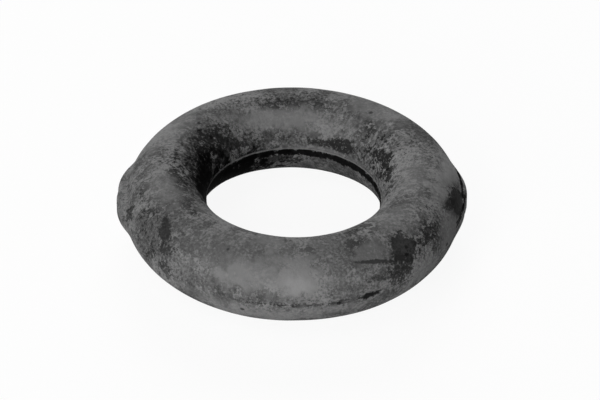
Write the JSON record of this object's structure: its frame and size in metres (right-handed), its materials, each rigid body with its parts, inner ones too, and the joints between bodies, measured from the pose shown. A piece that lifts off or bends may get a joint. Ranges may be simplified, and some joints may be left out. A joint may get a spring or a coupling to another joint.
{
  "type": "exhaust hanger ring",
  "caption": "Solid rubber ring of round section with grip lobes on opposite sides of its rim, looped over steel hooks to hang a car's exhaust pipe.",
  "frame": {"origin": "the ring's centre, in the middle of its bore and of its height", "axes": "+Z along the axis of the bore, square to the mould's parting plane; +X from the centre out through one grip lobe, the way one hook pulls; the ring lies flat"},
  "size_m": [0.0688, 0.0666, 0.016],
  "materials": {
    "rubber": "matt dark grey moulded rubber, mottled, with a dusty bloom"
  },
  "bodies": {
    "root": {"hanger_ring": "rubber"}
  },
  "joints": []
}
